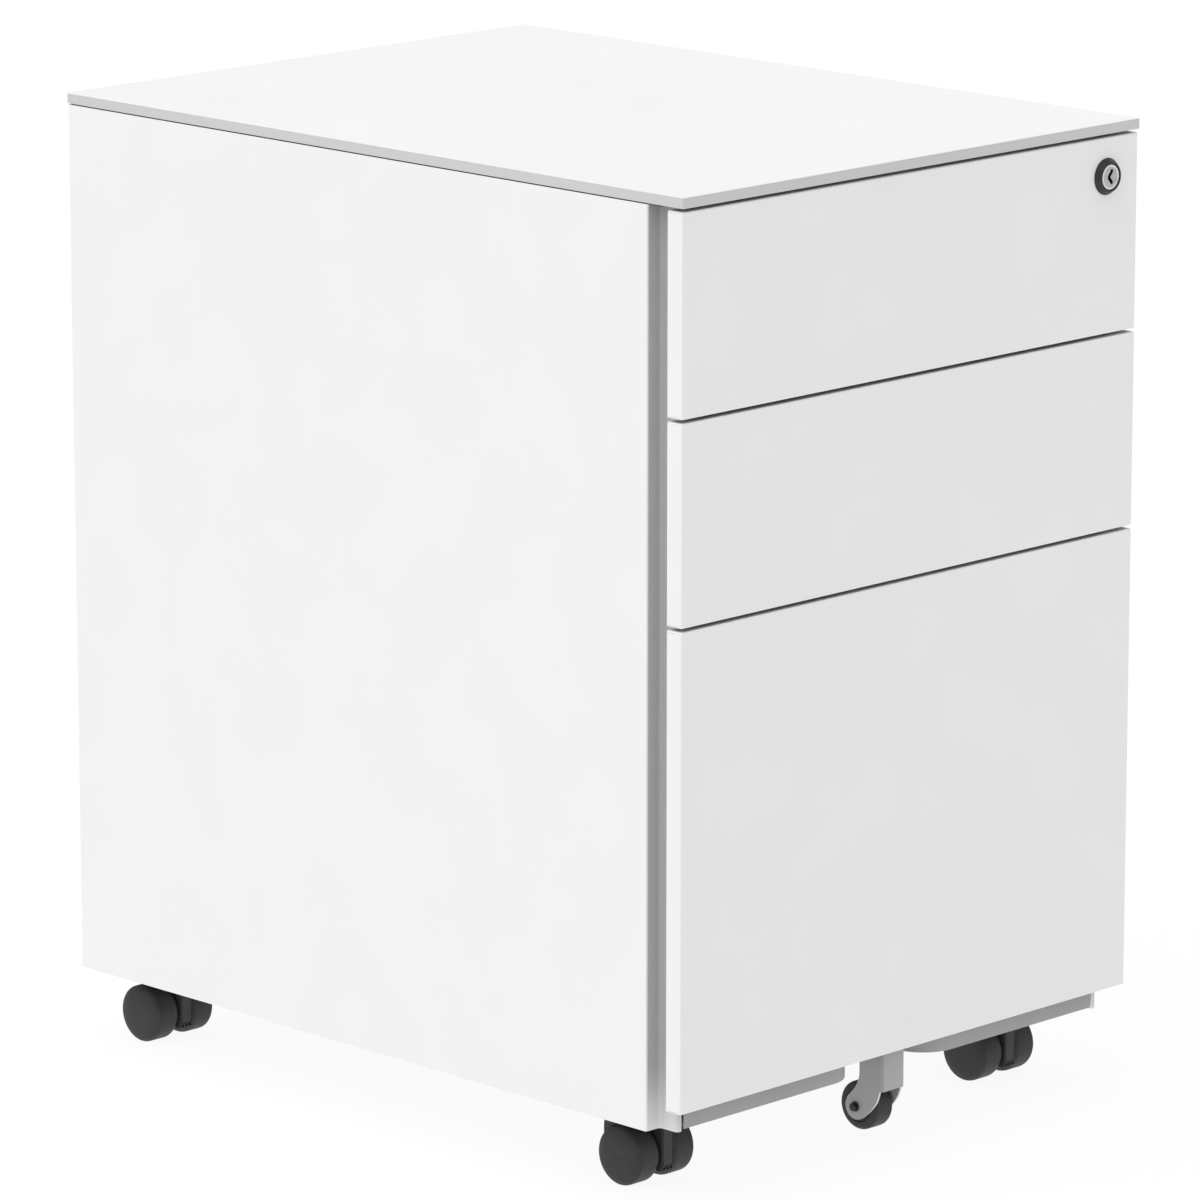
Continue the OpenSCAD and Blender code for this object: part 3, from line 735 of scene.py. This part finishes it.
# ---- Anti-tip wheel ----
def make_anti_tip():
    """The bracket: a bent channel cut to its side view, with a flange and a bore."""
    low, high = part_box("anti_tip_bracket")
    axle = centre("anti_tip_axle")
    front = low.y
    half = (high.x - low.x) / 2
    reach = front + 60 * MM
    steel = 1.5 * MM
    lobe = 8.2 * MM
    hub = Vector((axle.y, axle.z))

    def at(back, height):
        """A point of the side view: back from the bracket's face, above the floor."""
        return Vector((front + back * MM, height * MM))

    nose = smooth_curve([at(2.2, 34.3), at(4.4, 27.8), at(8.3, 22.3), at(12.9, 17.8),
                         at(16, 15.3), at(18.4, 13.95)])
    heel = smooth_curve([at(29, 25), at(27.6, 27.4), at(22.6, 32.8), at(19.6, 38.4),
                         at(18.7, 42.2)])
    side = ([at(0, high.z / MM), at(0, 34.5)] + nose + arc(hub, lobe, -108, 22) + heel
            + [at(18.7, high.z / MM)])
    channel = rounded([(-half, reach), (-half, front), (half, front), (half, reach),
                       (half - steel, reach), (half - steel, front + steel),
                       (steel - half, front + steel), (steel - half, reach)],
                      in_metres([0, 2.4, 2.4, 0, 0, 0.9, 0.9, 0]))
    body = boolean(prism(channel, 10 * MM, high.z, "z"),
                   [prism(side, low.x - 5 * MM, high.x + 5 * MM, "x")], "INTERSECT")
    flange = block((-half, front + 0.9 * MM, high.z - steel), (half, high.y, high.z))
    bore = moved(rod(2.55 * MM, -20 * MM, 20 * MM), facing_right(0, axle.y, axle.z))
    body = boolean(boolean(body, [flange], "UNION"), [bore], "DIFFERENCE")
    piece("anti_tip_fork", body, "drawer_3", "grey_steel", ["anti_tip_bracket"])
    # Painted shade: faces turned sideways, the cheeks, get the darker grey.
    paint_faces(body, "bracket_cheek_painted_shade", lambda f: abs(f.normal.x) > 0.4)
    # Painted highlight: the cut edges along the cheeks' lower outline get the light grey.
    paint_faces(body, "edge_painted_highlight", lambda f: abs(f.normal.x) < 0.1 and f.center.z < 34.2 * MM
                and (f.center.yz - hub).length > 3 * MM and f.center.y > front + 2.2 * MM)
    make_tip_wheel(axle)
    make_tip_axle(axle, half / MM)


def make_tip_wheel(axle):
    """A solid roller with rounded shoulders and a groove in each face."""
    low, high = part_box("anti_tip_wheel")
    half, radius = (high.x - low.x) / 2 / MM, (high.z - low.z) / 2 / MM
    outline = rounded([(2.55, -half), (5, -half), (5.8, 0.9 - half), (9.6, 0.9 - half),
                       (10.4, -half), (radius, -half), (radius, half), (10.4, half),
                       (9.6, half - 0.9), (5.8, half - 0.9), (5, half), (2.55, half)],
                      [0.2, 0.3, 0.2, 0.2, 0.3, 3, 3, 0.3, 0.2, 0.2, 0.3, 0.2], 6)
    mesh = moved(lathe(in_metres(outline), closed=True), facing_right(*axle))
    piece("anti_tip_roller", mesh, "anti_tip_wheel", "wheel_plastic", ["anti_tip_wheel"])


def make_tip_axle(axle, half):
    """A pin with a push-on ring and, past a neck, a domed head outside each cheek."""
    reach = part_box("anti_tip_axle")[1].x / MM - half
    end = [(2.5, half - 0.3), (2.5, half + 0.1), (3.1, half + 0.1), (3.1, half + 0.9),
           (1.8, half + 0.9), (1.8, half + reach - 1.5), (2.5, half + reach - 1.5),
           (2.5, half + reach - 0.7), (1.6, half + reach), (0, half + reach)]
    radii = [0, 0, 0.2, 0.2, 0, 0, 0.2, 0.5, 0.8, 0]
    right = rounded(end, radii, 4)
    left = [Vector((r, -h)) for r, h in reversed(right)]
    mesh = moved(lathe(in_metres(left + right), 64), facing_right(*axle))
    piece("anti_tip_pin", mesh, "drawer_3", "black_metal", ["anti_tip_axle"])


# ---- Castors ----
def wheel_profile():
    """Half section of a wheel: hub, hollow inner face, rounded tread and domed cap."""
    inner = rounded([(0, 12.4), (2.55, 12.4), (2.55, 0.2), (5.5, 0.2), (6, 6), (12.4, 6),
                     (13, 0), (WHEEL_R, 0), (WHEEL_R, 8)],
                    [0, 0.2, 0.3, 0.3, 0.8, 0.8, 0.3, 4.5, 0], 6)
    dome = []
    steps = 20
    fullness = 0.65
    for k in range(steps + 1):
        turn = math.pi / 2 * k / steps
        radius = WHEEL_R * math.cos(turn) ** fullness if k < steps else 0
        dome.append(Vector((radius, TREAD_W + DOME_H * math.sin(turn) ** fullness)))
    return inner + dome


def castor_web():
    """Web between the wheels, y from the axle: a flat front, rounded towards the floor."""
    web = rounded([(-18, 10.2), (-18, 38.6), (-14.5, 38.6), (-13.5, 41), (12, 41), (16.5, 37),
                   (16.5, 28), (7, 12.5), (-2, 9), (-12, 8.3), (-17.7, 8.3), (-17.7, 10.2)],
                  [0.3, 1.2, 0.6, 0.5, 3, 2, 3, 6, 6, 2, 0.4, 0.1])
    half = (WHEEL_GAP - 0.7) / 2 * MM
    return prism(in_metres(web), -half, half, "x")


def frame_groove():
    """Cutter for the rounded rectangular groove in the flat front of a castor."""
    def panel(inset):
        side, bottom, top = 4.15 - inset, 10.9 + inset, 38 - inset
        corners = [(-side, bottom), (side, bottom), (side, top), (-side, top)]
        return in_metres(rounded(corners, 1.5 - inset))

    outer = prism(panel(0), -19 * MM, -17.1 * MM, "y")
    return boolean(outer, [prism(panel(0.5), -20 * MM, -16 * MM, "y")], "DIFFERENCE")


def castor_hood(back):
    """Hood above both wheels, clear of them by a millimetre, that ends at `back`."""
    hub = Vector((0, WHEEL_R))
    clear = WHEEL_R + 1
    if back > WHEEL_R / 2:
        outer = [(-9.5, 41), (11, 41), (15, 39.8), (17, 37.2), (back, 33), (back, 26.2)]
        low_angle = 24
    else:
        outer = [(-9.5, 41), (back - 5, 41), (back - 1.5, 39.8), (back, 37.6)]
        low_angle = math.degrees(math.acos(back / clear))
    inner = arc(hub, clear, low_angle, 116, 16)
    return prism(in_metres(smooth_curve(outer, 5) + inner), -17.5 * MM, 17.5 * MM, "x")


def castor_housing(back):
    """Housing in the castor's own place: origin under the axle, on the floor."""
    collar = rounded([(0, 37), (9.5, 37), (9.5, 43.4), (8.4, 43.8), (8.4, 46.6), (0, 46.6)],
                     [0, 0, 0.5, 0.2, 0.4, 0])
    swivel = moved(lathe(in_metres(collar), 64), shift(0, -TRAIL * MM, 0))
    bore = moved(rod(3.55 * MM, 23.5 * MM, 60 * MM), shift(0, -TRAIL * MM, 0))
    axle = moved(rod(2.52 * MM, -20 * MM, 20 * MM), facing_right(0, 0, WHEEL_R * MM))
    slots = [block(((x - 0.85) * MM, -19 * MM, 8.9 * MM), ((x + 0.85) * MM, -14 * MM, 10.5 * MM))
             for x in (-2.9, 0, 2.9)]
    body = boolean(castor_web(), [castor_hood(back), swivel], "UNION")
    return boolean(body, [bore, axle, frame_groove()] + slots, "DIFFERENCE")


def make_castors():
    """Four castors: one housing shape for the front pair, one for the rear pair."""
    housings = {"f": castor_housing(17.7), "b": castor_housing(4.5)}
    wheel = lathe(in_metres(wheel_profile()), 128)
    for corner in CASTORS:
        axle = centre(f"castor_{corner}_axle")
        body = f"castor_{corner}"
        mesh = moved(housings[corner[0]].copy(), shift(axle.x, axle.y, 0))
        piece(f"{body}_shell", mesh, body, "dark_plastic", [f"{body}_housing"], 0.12 * MM)
        for side, sign in SIDES.items():
            turn = Matrix.Rotation(math.radians(90 * sign), 4, "Y")
            place = shift(axle.x + sign * WHEEL_GAP / 2 * MM, axle.y, axle.z) @ turn
            mesh = moved(wheel.copy(), place)
            piece(f"{body}_tyre_{side}", mesh, f"{body}_wheel_{side}", "wheel_plastic",
                  [f"{body}_wheel_{side}"])


make_camera()
make_floor()
make_light()
finish_cad_nodes()
make_drawer_fronts()
make_lock()
make_anti_tip()
make_castors()
